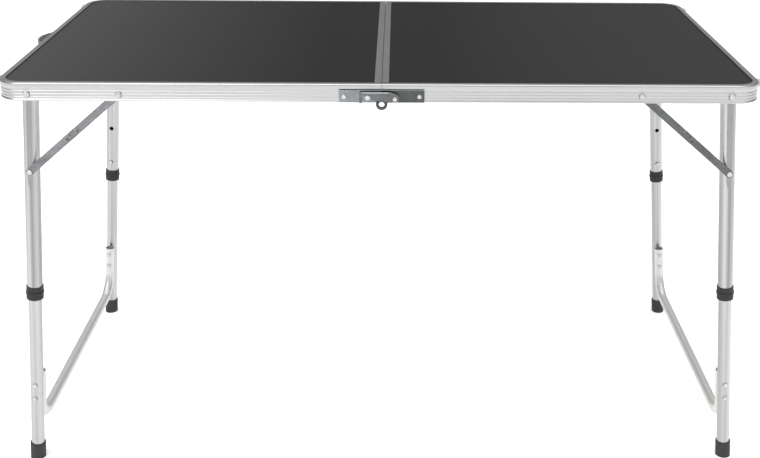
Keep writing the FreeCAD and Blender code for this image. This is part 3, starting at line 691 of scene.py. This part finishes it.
@dataclass
class Leg(Assembly):
    """One pair of telescopic legs with its crossbar and braces."""

    edge: float = 0.0002
    side: Side = Side.LEFT

    def build(self) -> None:
        """Dress both legs of the pair."""
        word = self.side.value
        # Painted shade: the right-hand arms take the darker copy of the arm finish.
        arm = Stock.ZINC if self.side is Side.LEFT else Stock.DARK_ZINC
        for end in End:
            corner = "%s_%s_" % (word, end.value)
            # Painted light: the rear upper tubes take the lighter inner-tube finish and its
            # reflection bands.
            outer = Stock.OUTER_TUBE if end is End.FRONT else Stock.INNER_TUBE
            self.dress(corner + "upper_tube", outer, 0.0)
            self.dress(corner + "lower_tube", Stock.INNER_TUBE, 0.0)
            self.dress(corner + "collar", Stock.COLLAR, 0.0005)
            self.dress(corner + "foot_cap", Stock.RUBBER, 0.0008)
            self.dress(corner + "button", Stock.RIVET, 0.0)
            self.dress(corner + "upper_arm", arm, 0.00025)
            self.dress(corner + "lower_arm", arm, 0.00025)
        self.dress(word + "_crossbar", Stock.BAR, 0.0)
        self.dress(word + "_crossbar_rivets", Stock.RIVET, 0.0)
        self.dress(word + "_leg_rivets", Stock.RIVET, 0.0)


@dataclass
class CarryHandle(Assembly):
    """The moulded grip on the left end."""

    edge: float = 0.0012

    def build(self) -> None:
        """Dress the grip."""
        self.dress("carry_handle", Stock.GRIP)
        self.dress("handle_screws", Stock.ZINC, 0.0)


# ---------------------------------------------------------------------- studio


@dataclass
class Studio:
    """Floor, soft light and camera."""

    floor_half: float = 14.0
    lens: float = 53.09
    tilt_down: float = 21.61
    heading: float = -1.358
    roll: float = 0.653
    beside: float = 0.0249
    back: float = 1.974
    high: float = 1.1971
    shift: tuple[float, float] = (-0.0554, -0.0588)
    lamps: list[tuple[str, tuple[float, float, float], float, float]] = field(
        default_factory=lambda: [
            ("key_light", (-1.6, -2.0, 2.8), 40.0, 2.2),
            ("fill_light", (2.2, -2.2, 2.0), 14.0, 2.4),
            ("top_light", (0.0, 0.3, 3.8), 75.0, 4.5),
        ])

    def place_stage(self, name: str, mesh: bmesh.types.BMesh,
                    finish: StudioFloor) -> bpy.types.Object:
        """Turn a mesh into a part of the studio.

        Args:
            name: The object's name.
            mesh: The mesh, which is freed.
            finish: Its finish.

        Returns:
            The new object.
        """
        data = bpy.data.meshes.new(name)
        mesh.to_mesh(data)
        mesh.free()
        data.materials.append(finish.build())
        thing = bpy.data.objects.new(name, data)
        bpy.context.scene.collection.objects.link(thing)
        return thing

    def lay_floor(self) -> None:
        """Lay the floor just under the feet."""
        mesh = bmesh.new()
        bmesh.ops.create_grid(mesh, x_segments=1, y_segments=1, size=self.floor_half)
        self.place_stage("studio_floor", mesh, StudioFloor("studio_floor"))

    def raise_backdrop(self) -> None:
        """Raise a white wall round the floor that only the camera sees."""
        mesh = bmesh.new()
        bmesh.ops.create_cone(mesh, segments=64, radius1=self.floor_half,
                              radius2=self.floor_half, depth=2 * self.floor_half)
        wall = self.place_stage("studio_backdrop", mesh,
                                StudioFloor("studio_backdrop", glow=1.0))
        wall.visible_diffuse = False
        wall.visible_glossy = False
        wall.visible_shadow = False

    def light_world(self) -> None:
        """A white tent with a greyer band low down round the horizon."""
        world = bpy.data.worlds.new("studio_tent")
        bpy.context.scene.world = world
        world.use_nodes = True
        g = Graph(world.node_tree)
        way = g.node("ShaderNodeTexCoord", output="Generated")
        across = way.part("X").magnitude()
        band = g.node("ShaderNodeValToRGB", {"stops": [
            (0.0, (0.70, 0.70, 0.70)), (0.12, (0.26, 0.26, 0.255)),
            (0.50, (0.24, 0.24, 0.235)), (0.78, (0.95, 0.95, 0.96)),
            (1.0, (1.0, 1.0, 1.0))]}, {0: way.part("Z")})
        flags = g.mix(((across - 0.55) * 2.4).held(), (1.0, 1.0, 1.0),
                      (0.55, 0.55, 0.56))
        glow = g.node("ShaderNodeBackground", {},
                      {"Color": g.multiplied(band, flags), "Strength": 1.0})
        g.node("ShaderNodeOutputWorld", {}, {"Surface": glow})

    def hang_lamps(self) -> None:
        """Hang the soft boxes, each turned to the middle of the table."""
        for name, place, power, size in self.lamps:
            lamp = bpy.data.lights.new(name, "AREA")
            lamp.energy = power
            lamp.size = size
            thing = bpy.data.objects.new(name, lamp)
            thing.location = place
            aim = Vector((0, 0, 0.5)) - Vector(place)
            thing.rotation_euler = aim.to_track_quat("-Z", "Y").to_euler()
            bpy.context.scene.collection.objects.link(thing)

    def set_camera(self) -> None:
        """Put the camera in front and above, looking down at the table."""
        lens = bpy.data.cameras.new("camera")
        lens.lens = self.lens
        lens.sensor_width = 36.0
        lens.shift_x, lens.shift_y = self.shift
        lens.clip_end = 60.0
        camera = bpy.data.objects.new("camera", lens)
        camera.location = (self.beside, -self.back, self.high)
        turned = Matrix.Rotation(math.radians(self.heading), 3, "Z")
        tipped = Matrix.Rotation(math.radians(90 - self.tilt_down), 3, "X")
        rolled = Matrix.Rotation(math.radians(self.roll), 3, "Z")
        camera.rotation_euler = (turned @ tipped @ rolled).to_euler()
        bpy.context.scene.collection.objects.link(camera)
        bpy.context.scene.camera = camera

    def build(self) -> None:
        """Set up the whole studio."""
        self.lay_floor()
        self.raise_backdrop()
        self.light_world()
        self.hang_lamps()
        self.set_camera()
        bpy.context.scene.view_settings.view_transform = "Standard"


def main() -> None:
    """Build the sub-assemblies in order and set up the studio."""
    logging.basicConfig(level=logging.INFO)
    for assembly in (TopFrame(), CentreHinge(), Leg(side=Side.LEFT),
                     Leg(side=Side.RIGHT), CarryHandle()):
        assembly.build()
        log.info("built %s", type(assembly).__name__)
    Studio().build()


if __name__ == "__main__":
    main()
